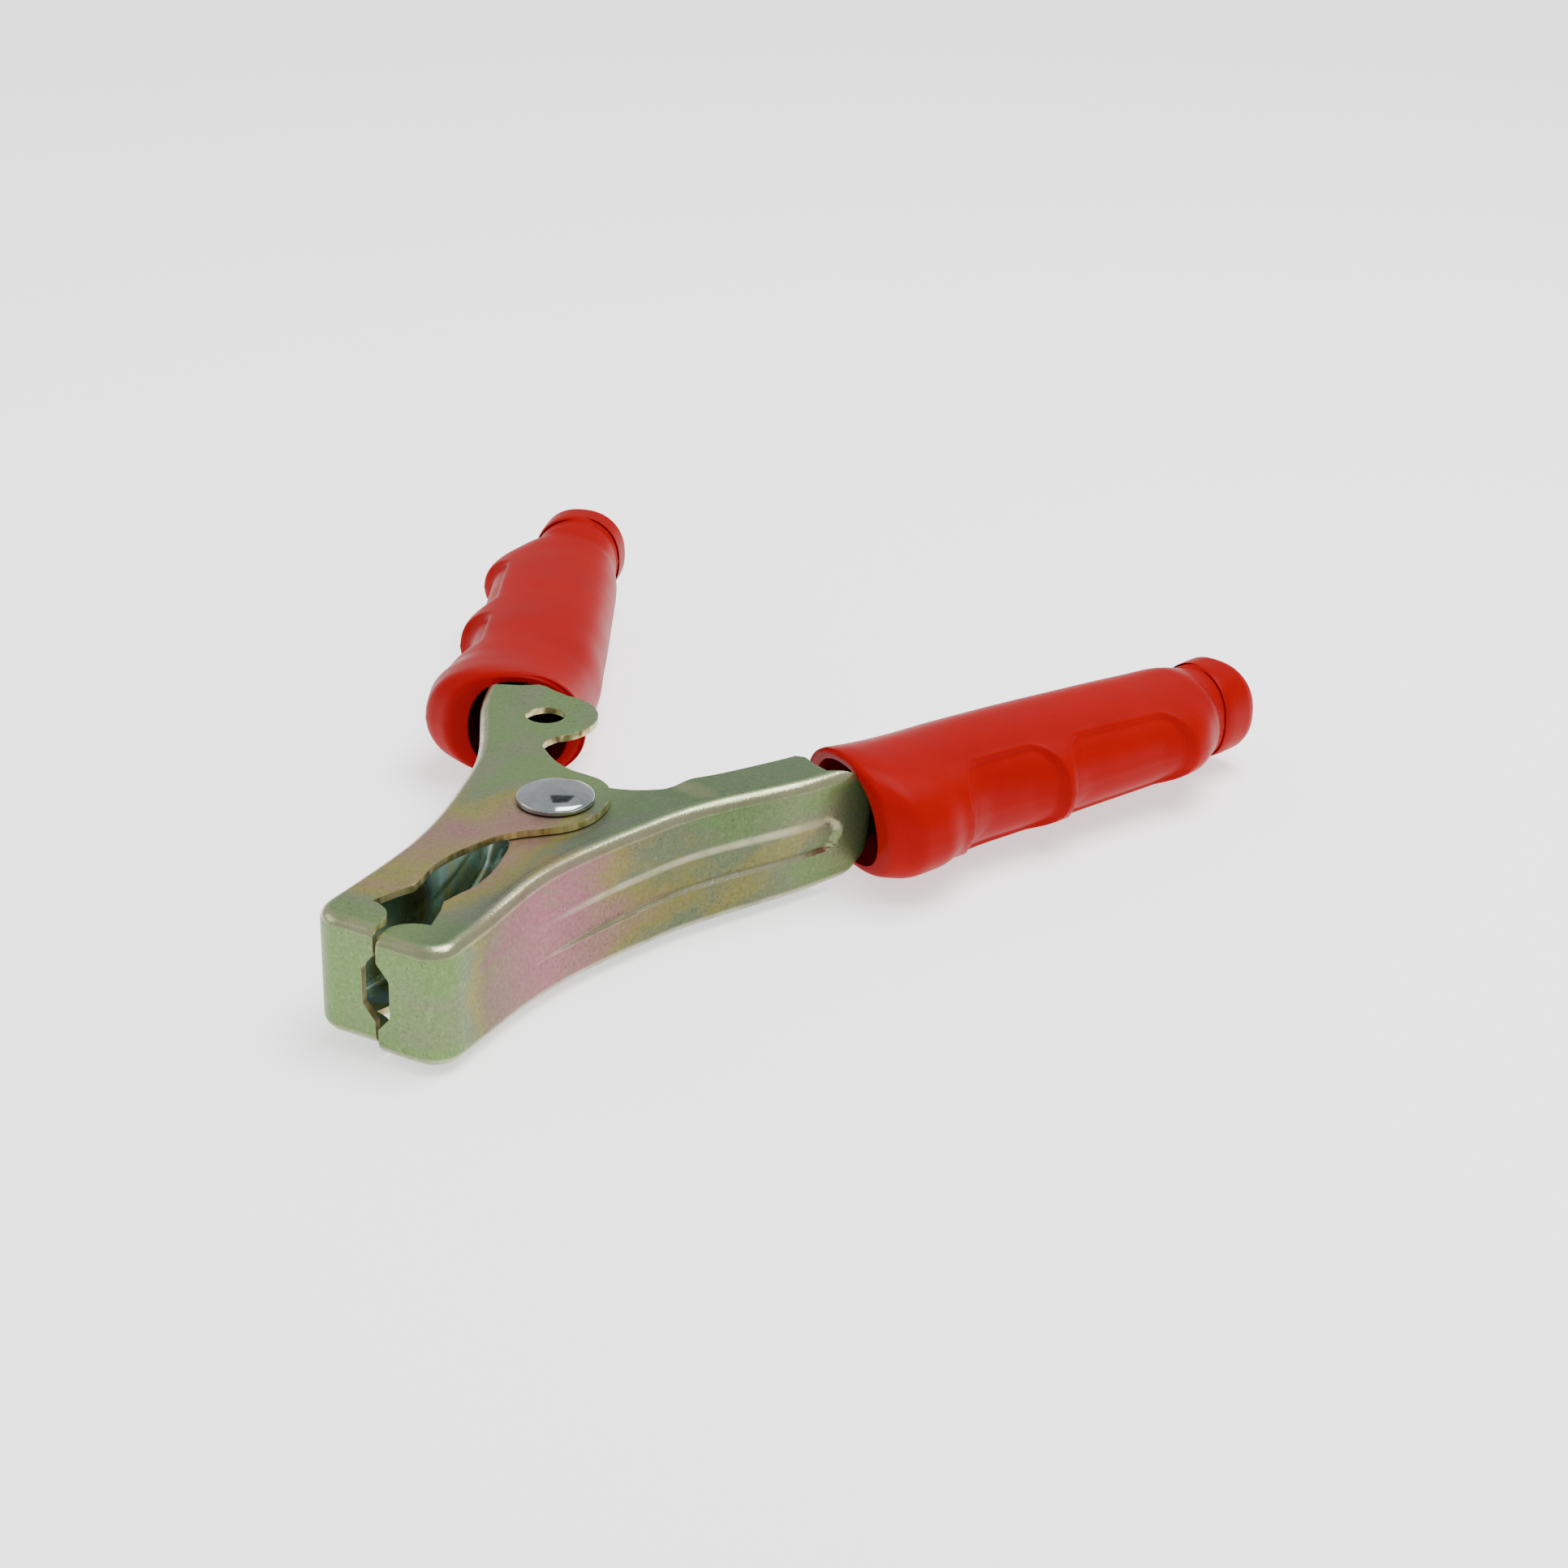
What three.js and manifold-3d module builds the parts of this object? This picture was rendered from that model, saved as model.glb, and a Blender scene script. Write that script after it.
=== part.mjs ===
// Spring-loaded ground clamp: two like pressings, one turned over, on one rivet, with a torsion
// spring between their cheeks and a soft sleeve on each handle. Millimetres, +Z along the rivet.
import * as THREE from 'three';
import { mergeVertices } from 'three/addons/utils/BufferGeometryUtils.js';
import Module from 'manifold-3d';

const wasm = await Module();
wasm.setup();

// ---- driving dimensions ----
const SHEET = 1.5;                 // steel thickness
const HALF_HEIGHT = 14.2;          // mid-plane to the outside of an outer cheek
const GAP = 0.3;                   // running gap between neighbouring pieces
const JOGGLE = SHEET + GAP;        // how far one cheek of each half steps in under its neighbour
const BEND_RADIUS = 2.6;           // outside radius between cheek and web
const RIDGE_WIDTH = 3.4;           // band along the web that keeps the full height
const FRONT_Y = -66;               // front wall of the jaws
const JAW_HALF_WIDTH = 15.9;       // pivot line to the web at the jaws
const CORNER_RADIUS = 6.5;           // plan radius between web and front wall
const TAB_CENTRE = [24.8, 35.6];   // terminal hole, on the handle side of the pivot
const TAB_RADIUS = 11.5;
const TERMINAL_HOLE_RADIUS = 4.25; // clearance hole for an M8 lug bolt
const TONGUE_HALF_HEIGHT = 7.6;    // the narrow end of the handle inside its grip
const TONGUE_SPAN = [53, 140];     // along the handle line from the pivot
const TONGUE_WEB = [14.9, 9.2];    // outside of the tongue's web, across the handle line
const TONGUE_EDGE = [4.2, 0.4];    // free edge of its flanges
const SHOULDER_SPAN = [57, 69];    // the channel's rounded end, along the handle line
const BEYOND = 70;                 // clear of the whole part, for cutting shapes
const SHANK_RADIUS = 4;
const HEAD_RADIUS = 8.3;
const HEAD_DOME = [[1, 0.7], [0.86, 1.35], [0.55, 2.1], [0.25, 2.5], [0, 2.6]];   // share of radius, rise
const TAIL_RADIUS = 6.6;
const WIRE_RADIUS = 1.2;
const COIL_RADIUS = 7.3;
const COIL_TURNS = 4;               // whole turns, before the legs' own part of a turn
const COIL_RISE = 13.2;
const LEG_END = [27.6, 20];        // where a leg bears on the inside of a web
const HANDLE_ANGLE = THREE.MathUtils.degToRad(30.3);   // handle line from the clamp's axis
const GRIP_WALL = 2.6;
const LIP_WALL = 1.2;              // thinner wall just inside the grip's mouth
const CAVITY_OUTWARD = 14.5;       // the cavity stays straight behind the finger ridges
const CABLE_RADIUS = 7;            // cable way through the grip's end ring
const PIVOT_Y = -47.2;             // puts the origin under the middle of the whole clamp
const MID_Z = 16;                  // mid-plane above the surface that the clamp lies on

const STEEL = { color: 0xa39c80, roughness: 0.38, metalness: 0.85 };
const ZINC = { color: 0xb9bec0, roughness: 0.3, metalness: 0.9 };
const SPRING = { color: 0x6f7072, roughness: 0.4, metalness: 0.9 };
const PVC = { color: 0xc8231e, roughness: 0.45, metalness: 0.0 };

// ---- solids ----
function toSolid(geometry) {
  const bare = geometry.clone();
  bare.deleteAttribute('normal');
  bare.deleteAttribute('uv');
  const merged = mergeVertices(bare, 1e-4);
  const triVerts = new Uint32Array(merged.index.array);
  const vertProperties = new Float32Array(merged.attributes.position.array);
  return new wasm.Manifold(new wasm.Mesh({ numProp: 3, vertProperties, triVerts }));
}

function toMesh(solid, name, finish) {
  const data = solid.getMesh();
  const geometry = new THREE.BufferGeometry();
  const vertices = new Float32Array(data.vertProperties);
  geometry.setAttribute('position', new THREE.BufferAttribute(vertices, 3));
  geometry.setIndex(new THREE.BufferAttribute(new Uint32Array(data.triVerts), 1));
  geometry.computeVertexNormals();
  const mesh = new THREE.Mesh(geometry, new THREE.MeshStandardMaterial(finish));
  mesh.name = name;
  return mesh;
}

function prism(shape, low, high, curveSegments = 4) {
  const depth = high - low;
  const geometry = new THREE.ExtrudeGeometry(shape, { depth, bevelEnabled: false, curveSegments });
  geometry.translate(0, 0, low);
  return toSolid(geometry);
}

// A slab about the mid-plane with rounded long edges, drawn in from the plan outline by inset.
function pillow(shape, halfHeight, radius, inset) {
  const geometry = new THREE.ExtrudeGeometry(shape, {
    depth: 2 * (halfHeight - radius), bevelEnabled: true, bevelThickness: radius, bevelSize: radius,
    bevelOffset: -radius - inset, bevelSegments: 3, curveSegments: 4,
  });
  geometry.translate(0, 0, radius - halfHeight);
  return toSolid(geometry);
}

// ---- plan outlines, drawn for the half whose web is at +X ----
const WEB_LINE = [
  [15.8, -50], [15.8, -41], [16.3, -31], [17.8, -21], [20.2, -11], [22.9, -2], [26, 7.5],
  [30.2, 17], [35.2, 27], [40, 37], [44.6, 49],
];
const CHANNEL_END = [49.6, 64];    // the web line carried on past the end of the channel
const FAR_SIDE = -34;              // beyond every free edge, on the open side of the channel
const MOUTH = [
  [3.5, -47], [4.2, -42.5], [5.1, -37.8], [4.6, -31], [3, -24.8], [1.2, -19.8], [-1.4, -16],
  [-4.6, -12.8],
];
const EAR = [                      // round cheek about the rivet
  [-7.6, -9.7], [-9.7, -6.2], [-10.7, -2.2], [-10.6, 2], [-9.6, 6], [-7.8, 9.4], [-5.2, 12.2],
  [-2.2, 13.7], [1.6, 14.2],
];
const EAR_TO_HANDLE = [[5.7, 14.6], [10.8, 16.8], [16.6, 21.2]];
const HANDLE_EDGE = [[22.4, 28.4], [28.6, 38.4], [32.2, 44.6]];
const CHEEK_END = [[33.8, 46.4], [41.4, 43.6]];   // slanted end of the full-height cheeks
const WEB_CLEAR = [[46.2, 56], [48, 62]];     // inside the web past that end
const RIDGE_END = [[11, 25], [11, 64]];       // past this line the handle keeps its full height
const RIDGE_START_Y = -55;
const SEAM_X = 0.3;                // the front wall stops this far from the clamp's middle
const TIP_END_Y = -61.6;           // back of the front wall at the seam
const TIP_BEND = [1.6, -57.2];
const TIP_NOTCH = [[6.9, -56.4], [5.1, -50.4]];
const TAB_THROAT = [[18.4, 23], [16.8, 27.5]];
const TAB_ARC = [1.25 * Math.PI, 0.46 * Math.PI];
const TAB_NECK = [29.4, 47.6];
const WINDOW = [[-0.5, 8.4], [3.2, 4.1], [3.2, -4.1], [-0.5, -8.4]];   // half a hexagon

function points(list) {
  return list.map(([x, y]) => new THREE.Vector2(x, y));
}

// A plan point given along and across the straight handle line.
function onHandle(along, across) {
  const x = across * Math.cos(HANDLE_ANGLE) + along * Math.sin(HANDLE_ANGLE);
  const y = along * Math.cos(HANDLE_ANGLE) - across * Math.sin(HANDLE_ANGLE);
  return new THREE.Vector2(x, y);
}

// The web and front wall, closed far out on the open side.
function webShape() {
  const shape = new THREE.Shape();
  const cornerY = FRONT_Y + CORNER_RADIUS;
  const cornerX = JAW_HALF_WIDTH - CORNER_RADIUS;
  shape.moveTo(FAR_SIDE, FRONT_Y);
  shape.lineTo(cornerX, FRONT_Y);
  shape.absarc(cornerX, cornerY, CORNER_RADIUS, -Math.PI / 2, 0, false);
  shape.splineThru(points(WEB_LINE));
  shape.lineTo(...CHANNEL_END);
  shape.lineTo(FAR_SIDE, CHANNEL_END[1]);
  shape.closePath();
  return shape;
}

// Everything on the web's side of a cheek's free edge: jaw tip, mouth scallop, ear, then handle.
function cheekShape(withTab) {
  const shape = new THREE.Shape();
  shape.moveTo(BEYOND, FRONT_Y - 2);
  shape.lineTo(SEAM_X, FRONT_Y - 2);
  shape.lineTo(SEAM_X, TIP_END_Y);
  shape.quadraticCurveTo(...TIP_BEND, ...TIP_NOTCH[0]);
  shape.lineTo(...TIP_NOTCH[1]);
  shape.lineTo(...MOUTH[0]);
  shape.splineThru(points([...MOUTH.slice(1), ...EAR]));
  shape.splineThru(points(EAR_TO_HANDLE));
  if (withTab) {
    shape.quadraticCurveTo(...TAB_THROAT.flat());
    shape.absarc(...TAB_CENTRE, TAB_RADIUS, ...TAB_ARC, true);
    shape.lineTo(...TAB_NECK);
  } else {
    shape.splineThru(points(HANDLE_EDGE));
    shape.lineTo(...CHEEK_END[0]);
  }
  [CHEEK_END[1], ...WEB_CLEAR].forEach((end) => shape.lineTo(...end));
  shape.lineTo(BEYOND, WEB_CLEAR[1][1]);
  shape.closePath();
  return shape;
}

// The band beside the web, and the handle, where the stepped cheek keeps its full height.
function fullHeightShape(width) {
  const curve = new THREE.SplineCurve(points(WEB_LINE).slice(0, 8));
  const steps = 14;
  const shape = new THREE.Shape();
  shape.moveTo(BEYOND, RIDGE_START_Y);
  for (let i = 0; i <= steps; i += 1) {
    const here = curve.getPoint(i / steps);
    const tangent = curve.getTangent(i / steps);
    const x = here.x - tangent.y * width;
    if (i === 0) {
      shape.lineTo(x, RIDGE_START_Y);
    }
    shape.lineTo(x, here.y + tangent.x * width);
  }
  RIDGE_END.forEach((end) => shape.lineTo(...end));
  shape.lineTo(BEYOND, RIDGE_END[1][1]);
  shape.closePath();
  return shape;
}

function channel(halfHeight) {
  const outline = webShape();
  const outer = pillow(outline, halfHeight, BEND_RADIUS, 0);
  return outer.subtract(pillow(outline, halfHeight - SHEET, BEND_RADIUS - SHEET, SHEET));
}

// The narrow end inside the grip: a smaller channel, open at its end and on its free side.
function tongue() {
  const [start, end] = TONGUE_SPAN;
  const solid = new THREE.Shape([
    onHandle(start, TONGUE_WEB[0]), onHandle(end, TONGUE_WEB[1]),
    onHandle(end, TONGUE_EDGE[1]), onHandle(start, TONGUE_EDGE[0]),
  ]);
  const hollow = new THREE.Shape([
    onHandle(start - 1, TONGUE_WEB[0] - SHEET), onHandle(end + 1, TONGUE_WEB[1] - SHEET),
    onHandle(end + 1, FAR_SIDE), onHandle(start - 1, FAR_SIDE),
  ]);
  const inside = TONGUE_HALF_HEIGHT - SHEET;
  return prism(solid, -TONGUE_HALF_HEIGHT, TONGUE_HALF_HEIGHT).subtract(prism(hollow, -inside, inside));
}

// Half of the six-sided opening in the front wall, about the middle of the half's own jaw.
function halfWindow() {
  const middle = -JOGGLE / 2;
  const hexagon = new THREE.Shape(points(WINDOW));
  const geometry = new THREE.ExtrudeGeometry(hexagon, { depth: 8, bevelEnabled: false });
  geometry.rotateX(Math.PI / 2);
  geometry.translate(0, FRONT_Y + 6, middle);
  return toSolid(geometry);
}

function disc(x, y, radius) {
  const geometry = new THREE.CylinderGeometry(radius, radius, 4 * HALF_HEIGHT, 32);
  geometry.rotateX(Math.PI / 2);
  geometry.translate(x, y, 0);
  return toSolid(geometry);
}

// Rounds the web's corners where the full-height channel stops, seen square to the handle line.
function shoulders() {
  const [start, end] = SHOULDER_SPAN;
  const high = HALF_HEIGHT + 1;
  const shape = new THREE.Shape();
  shape.moveTo(-2 * BEYOND, -high);
  shape.lineTo(start, -high);
  shape.lineTo(start, -HALF_HEIGHT);
  shape.quadraticCurveTo(end, -HALF_HEIGHT, end, -TONGUE_HALF_HEIGHT);
  shape.lineTo(end, TONGUE_HALF_HEIGHT);
  shape.quadraticCurveTo(end, HALF_HEIGHT, start, HALF_HEIGHT);
  shape.lineTo(start, high);
  shape.lineTo(-2 * BEYOND, high);
  shape.closePath();
  const depth = 4 * BEYOND;
  const across = new THREE.ExtrudeGeometry(shape, { depth, bevelEnabled: false, curveSegments: 5 });
  across.translate(0, 0, -2 * BEYOND);
  across.rotateX(Math.PI / 2);
  across.rotateZ(Math.PI / 2 - HANDLE_ANGLE);
  return toSolid(across);
}

const pivotHole = disc(0, 0, SHANK_RADIUS + GAP);

// One stamping, web at +X: the lower cheek at full height, the upper one stepped in beside a ridge.
function half(withTab) {
  const low = HALF_HEIGHT - JOGGLE;
  const ridge = prism(fullHeightShape(RIDGE_WIDTH), -1, 2 * HALF_HEIGHT);
  const ridgeOutside = prism(fullHeightShape(RIDGE_WIDTH - SHEET), -1, 2 * HALF_HEIGHT);
  const lower = channel(HALF_HEIGHT).trimByPlane([0, 0, -1], 0);
  const raised = channel(HALF_HEIGHT).intersect(ridge);
  const stepped = channel(low).trimByPlane([0, 0, 1], -1).subtract(ridgeOutside);
  const filled = pillow(webShape(), HALF_HEIGHT, BEND_RADIUS, 0);
  const riser = ridge.subtract(ridgeOutside).intersect(filled).trimByPlane([0, 0, 1], low - SHEET);
  const plain = prism(cheekShape(false), -2 * HALF_HEIGHT, 2 * HALF_HEIGHT);
  const tabbed = prism(cheekShape(withTab), -2 * HALF_HEIGHT, 2 * SHEET - HALF_HEIGHT);
  const pressed = lower.add(raised).add(stepped).add(riser).intersect(plain.add(tabbed));
  const body = pressed.intersect(shoulders()).add(tongue()).subtract(pivotHole).subtract(halfWindow());
  if (!withTab) {
    return body;
  }
  return body.subtract(disc(...TAB_CENTRE, TERMINAL_HOLE_RADIUS).translate([0, 0, -2 * HALF_HEIGHT]));
}

// ---- rivet ----
function rivet() {
  const seat = HALF_HEIGHT + GAP;
  const dome = HEAD_DOME.map(([share, rise]) => [HEAD_RADIUS * share, seat + rise]);
  const profile = [
    [0, -MID_Z], [TAIL_RADIUS - 1, -MID_Z], [TAIL_RADIUS, -MID_Z + 0.8], [TAIL_RADIUS, -seat],
    [SHANK_RADIUS, -seat], [SHANK_RADIUS, seat], [HEAD_RADIUS, seat], ...dome,
  ];
  const geometry = new THREE.LatheGeometry(points(profile), 32);
  geometry.rotateX(Math.PI / 2);
  return toSolid(geometry);
}

// ---- torsion spring: a close helix about the rivet with a straight leg towards each web ----
class SpringPath extends THREE.Curve {
  constructor(legEnd) {
    super();
    const reach = Math.hypot(...legEnd);
    const bearing = Math.atan2(legEnd[1], legEnd[0]);
    this.start = bearing + Math.acos(COIL_RADIUS / reach);
    this.leg = Math.sqrt(reach * reach - COIL_RADIUS * COIL_RADIUS);
    this.sweep = 2 * Math.PI * COIL_TURNS + Math.PI - 2 * this.start;
    this.coil = this.sweep * COIL_RADIUS;
    this.total = this.coil + 2 * this.leg;
  }

  getPoint(t, target = new THREE.Vector3()) {
    const along = t * this.total - this.leg;
    const turned = THREE.MathUtils.clamp(along / this.coil, 0, 1);
    const angle = this.start + turned * this.sweep;
    const beyond = along < 0 ? along : Math.max(0, along - this.coil);
    const x = COIL_RADIUS * Math.cos(angle) - Math.sin(angle) * beyond;
    const y = COIL_RADIUS * Math.sin(angle) + Math.cos(angle) * beyond;
    return target.set(x, y, (turned - 0.5) * COIL_RISE);
  }
}

function spring() {
  const wire = new THREE.Shape();
  wire.absarc(0, 0, WIRE_RADIUS, 0, 2 * Math.PI, false);
  const path = new SpringPath(LEG_END);
  const geometry = new THREE.ExtrudeGeometry(wire, {
    extrudePath: path, steps: 130, curveSegments: 4, bevelEnabled: false,
  });
  return toSolid(geometry);
}

// ---- grip: sections across the handle line, each [along, centre, inward, outward, half height] ----
const GRIP_SECTIONS = [
  [66, 11.6, 15, 15.0, 14.6], [67, 11.8, 16.2, 18.0, 15.2], [70, 12, 17, 20.6, 15.1],
  [75, 11.8, 17.2, 20.0, 14.5], [83, 11, 17.4, 16.8, 13.8], [93, 9.4, 17.2, 14.4, 13.3],
  [104, 7.9, 16.2, 17.4, 13.1], [114, 6.6, 15.5, 20.2, 12.8], [124, 5.6, 14.9, 17.4, 12.4],
  [134, 4.7, 14.4, 15.6, 12], [145, 3.9, 14.1, 18.0, 11.6], [154, 3.2, 13.6, 19.8, 11.2],
  [161, 2.2, 12.6, 15.6, 10.9], [167, 0.9, 10.6, 10.9, 10.6], [172, 0.2, 10.3, 10.3, 10.3],
  [173, 0, 11.25, 11.25, 11.25], [179, -1.4, 11.25, 11.25, 11.25], [180.5, -1.8, 10.2, 10.2, 10.2],
];
const SECTION_POINTS = 24;
const SQUARENESS = 0.88;           // 1 is an ellipse; less fills the corners out
const MOUTH_SLANT = 0.24;          // the mouth leans back towards the outside, radians
const MOUTH_LEAN = 0.16;           // and its upper lip reaches further forward than the lower
const MOUTH_BLEND = 18;            // length over which both die out
const CABLE_WAY_START = 160;       // where the cavity narrows to the cable way
const LIP_DEPTH = 72;              // the thin lip wall reaches this far in

// 1 at the mouth, 0 past the length over which its slant dies out.
function mouthShare(along) {
  return Math.max(0, 1 - (along - GRIP_SECTIONS[0][0]) / MOUTH_BLEND);
}

function gripSection([along, centre, inward, outward, height], wall, turn) {
  const ring = [];
  for (let i = 0; i < SECTION_POINTS; i += 1) {
    const angle = (i / SECTION_POINTS) * 2 * Math.PI;
    const cos = Math.cos(angle);
    const sin = Math.sin(angle);
    const reach = cos > 0 ? outward : inward;
    const across = (reach - wall) * Math.sign(cos) * Math.abs(cos) ** SQUARENESS;
    const s = centre + across * Math.cos(turn);
    const t = along - across * Math.sin(turn);
    const x = s * Math.cos(HANDLE_ANGLE) + t * Math.sin(HANDLE_ANGLE);
    const y = t * Math.cos(HANDLE_ANGLE) - s * Math.sin(HANDLE_ANGLE);
    const z = (height - wall) * Math.sign(sin) * Math.abs(sin) ** SQUARENESS;
    const lean = MOUTH_LEAN * z * mouthShare(along);
    ring.push([x - lean * Math.sin(HANDLE_ANGLE), y - lean * Math.cos(HANDLE_ANGLE), z]);
  }
  return ring;
}

function grip() {
  const turnAt = (i) => {
    const a = GRIP_SECTIONS[Math.max(0, i - 1)];
    const b = GRIP_SECTIONS[Math.min(GRIP_SECTIONS.length - 1, i + 1)];
    const slant = MOUTH_SLANT * mouthShare(GRIP_SECTIONS[i][0]);
    return Math.atan2(b[1] - a[1], b[0] - a[0]) - slant;
  };
  const outer = GRIP_SECTIONS.map((section, i) => gripSection(section, 0, turnAt(i)));
  const inner = GRIP_SECTIONS.map((section, i) => {
    if (section[0] > CABLE_WAY_START) {
      const bore = [section[0], section[1], CABLE_RADIUS, CABLE_RADIUS, CABLE_RADIUS];
      return gripSection(bore, 0, turnAt(i));
    }
    const [along, centre, inward, outward, height] = section;
    const wall = along < LIP_DEPTH ? LIP_WALL : GRIP_WALL;
    const outside = Math.min(outward, CAVITY_OUTWARD);
    return gripSection([along, centre, inward, outside, height], wall, turnAt(i));
  });
  const rings = [...outer, ...inner.reverse()];
  const vertices = rings.flat(2);
  const index = [];
  const count = rings.length;
  for (let r = 0; r < count; r += 1) {
    const next = ((r + 1) % count) * SECTION_POINTS;
    const here = r * SECTION_POINTS;
    for (let i = 0; i < SECTION_POINTS; i += 1) {
      const j = (i + 1) % SECTION_POINTS;
      index.push(here + i, next + j, here + j, here + i, next + i, next + j);
    }
  }
  const geometry = new THREE.BufferGeometry();
  geometry.setAttribute('position', new THREE.BufferAttribute(new Float32Array(vertices), 3));
  geometry.setIndex(index);
  return toSolid(geometry);
}

// ---- assembly ----
const clamp = new THREE.Group();
clamp.position.set(0, PIVOT_Y, MID_Z);
const sleeve = grip();
clamp.add(
  toMesh(half(false), 'inner_jaw_half', STEEL),
  toMesh(half(true).rotate([0, 180, 0]), 'outer_jaw_half', STEEL),
  toMesh(rivet(), 'pivot_rivet', ZINC),
  toMesh(spring(), 'torsion_spring', SPRING),
  toMesh(sleeve, 'inner_half_grip', PVC),
  toMesh(sleeve.mirror([1, 0, 0]), 'outer_half_grip', PVC),
);
export default clamp;
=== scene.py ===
import math

import bmesh
import bpy
import numpy as np
from mathutils import Matrix, Vector
from mathutils.geometry import delaunay_2d_cdt


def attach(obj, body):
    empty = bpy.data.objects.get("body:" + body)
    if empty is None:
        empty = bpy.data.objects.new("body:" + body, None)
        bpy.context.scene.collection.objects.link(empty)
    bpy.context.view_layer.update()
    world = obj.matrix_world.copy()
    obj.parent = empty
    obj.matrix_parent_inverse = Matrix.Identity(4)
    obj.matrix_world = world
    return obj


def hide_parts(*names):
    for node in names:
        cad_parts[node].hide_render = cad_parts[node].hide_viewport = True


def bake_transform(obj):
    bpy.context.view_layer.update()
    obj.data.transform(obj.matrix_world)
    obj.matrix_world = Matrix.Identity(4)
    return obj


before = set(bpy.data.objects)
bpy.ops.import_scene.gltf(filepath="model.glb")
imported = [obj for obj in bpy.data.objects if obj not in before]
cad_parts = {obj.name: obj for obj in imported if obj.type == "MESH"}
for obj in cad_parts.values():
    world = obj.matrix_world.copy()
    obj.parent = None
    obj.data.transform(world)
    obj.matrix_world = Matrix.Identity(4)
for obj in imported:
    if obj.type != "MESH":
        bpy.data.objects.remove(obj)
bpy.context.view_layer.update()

# All sizes below are millimetres in plan about the pivot; MM and ORIGIN take them to the row frame.
MM = 0.001
ORIGIN = np.array([0.0, -47.2, 16.0])
SHEET = 1.5
HALF = 14.2                 # mid-plane to the outside of the full-height cheek
JOGGLE = 1.8                # the other cheek steps in by this much
BEND = 2.9                  # outside radius between web and cheek
FLAT = 0.4                  # flat top of the ridge beside the bend
STEP = 2.7                  # run of the step down from the ridge
FRONT_Y = -66.0
JAW_X = 15.9
CORNER = 6.5
SEAM_X = 0.3
TAB = (24.8, 35.6)
TAB_RADIUS = 11.5
TERMINAL_RADIUS = 4.25
PIVOT_HOLE = 4.3
WIRE = 2.3                  # spring wire diameter
COIL_RISE = 13.2
HANDLE = math.radians(30.3)

# plan outlines, drawn for the half whose web is at +X
WEB_LINE = [(15.8, -50), (15.8, -41), (16.3, -31), (17.8, -21), (20.2, -11), (22.9, -2), (26, 7.5),
            (30.2, 17), (35.2, 27), (40, 37), (44.6, 49)]
MOUTH = [(3.5, -47), (4.2, -42.5), (5.1, -37.8), (4.6, -31), (3, -24.8), (1.2, -19.8), (-1.4, -16),
         (-4.6, -12.8)]
EAR = [(-7.6, -9.7), (-9.7, -6.2), (-10.7, -2.2), (-10.6, 2), (-9.6, 6), (-7.8, 9.4), (-5.2, 12.2),
       (-2.2, 13.7), (1.6, 14.2)]
EAR_TO_HANDLE = [(5.7, 14.6), (10.8, 16.8), (16.6, 21.2)]
HANDLE_EDGE = [(22.4, 28.4), (28.6, 38.4), (31.6, 43.6)]
CHEEK_CORNER = [(32.6, 45.6), (34.6, 46.3)]
TAB_CORNER = [(30.6, 48.0), (33.2, 48.9), (35.2, 49.0)]
CHEEK_END_T = 58.4          # along the handle line, where the cheeks stop at the web
TURNED_CHEEK_END_T = 60.6   # the same on the turned half, to follow the photo; the CAD's are alike
SHOULDER_END_T = 69.0       # where the web has narrowed to the tongue
TONGUE_END_T = 140.0
TONGUE_JOGGLE = 3.2         # the tongue steps in from the web by this much
FRONT_REACH = 3.3           # reach of the bend round the jaw's front
SHOULDER = (8.6, 12.6)      # bow of the web's shoulder: run past the cheek, and across
TURNED_SHOULDER = (1.6, 9.5)           # steeper on the turned half, where the photo shows no corner
RAMP = ((16.5, 22.0), (30.5, 19.6))    # line across the handle where the stepped cheek rises


def on_handle(along, across):
    """Plan point given along and across the straight handle line."""
    c, s = math.cos(HANDLE), math.sin(HANDLE)
    return (across * c + along * s, along * c - across * s)


def smooth(x):
    x = np.clip(x, 0.0, 1.0)
    return x * x * (3 - 2 * x)


def spline(points, per=10):
    """Catmull-Rom curve through the points."""
    p = np.array(points, float)
    out = []
    for i in range(len(p) - 1):
        a, b, c, d = p[max(i - 1, 0)], p[i], p[i + 1], p[min(i + 2, len(p) - 1)]
        for k in range(per):
            t = k / per
            out.append(0.5 * (2 * b + (c - a) * t + (2 * a - 5 * b + 4 * c - d) * t * t
                              + (3 * b - a - 3 * c + d) * t ** 3))
    out.append(p[-1])
    return np.array(out)


def arc(centre, radius, start, end, count):
    a = np.linspace(start, end, count)
    return np.c_[centre[0] + radius * np.cos(a), centre[1] + radius * np.sin(a)]


def bow(a, b, c, count=8):
    """Quadratic curve from a to c with control point b."""
    t = np.linspace(0, 1, count)[:, None]
    return (1 - t) ** 2 * np.array(a) + 2 * t * (1 - t) * np.array(b) + t * t * np.array(c)


def resample(line, spacing):
    line = np.array(line, float)
    run = np.r_[0, np.cumsum(np.hypot(*np.diff(line, axis=0).T))]
    want = np.linspace(0, run[-1], max(2, int(round(run[-1] / spacing)) + 1))
    return np.c_[np.interp(want, run, line[:, 0]), np.interp(want, run, line[:, 1])]


def drop_repeats(line):
    keep = [line[0]]
    for p in line[1:]:
        if math.dist(p, keep[-1]) > 0.05:
            keep.append(p)
    return np.array(keep)


def inside(points, loop):
    """Even-odd test of many points against one closed loop."""
    x, y = points[:, 0], points[:, 1]
    hit = np.zeros(len(points), bool)
    a = loop
    b = np.roll(loop, -1, axis=0)
    for (x0, y0), (x1, y1) in zip(a, b):
        if y0 == y1:
            continue
        cross = ((y0 > y) != (y1 > y)) & (x < (x1 - x0) * (y - y0) / (y1 - y0) + x0)
        hit ^= cross
    return hit


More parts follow.
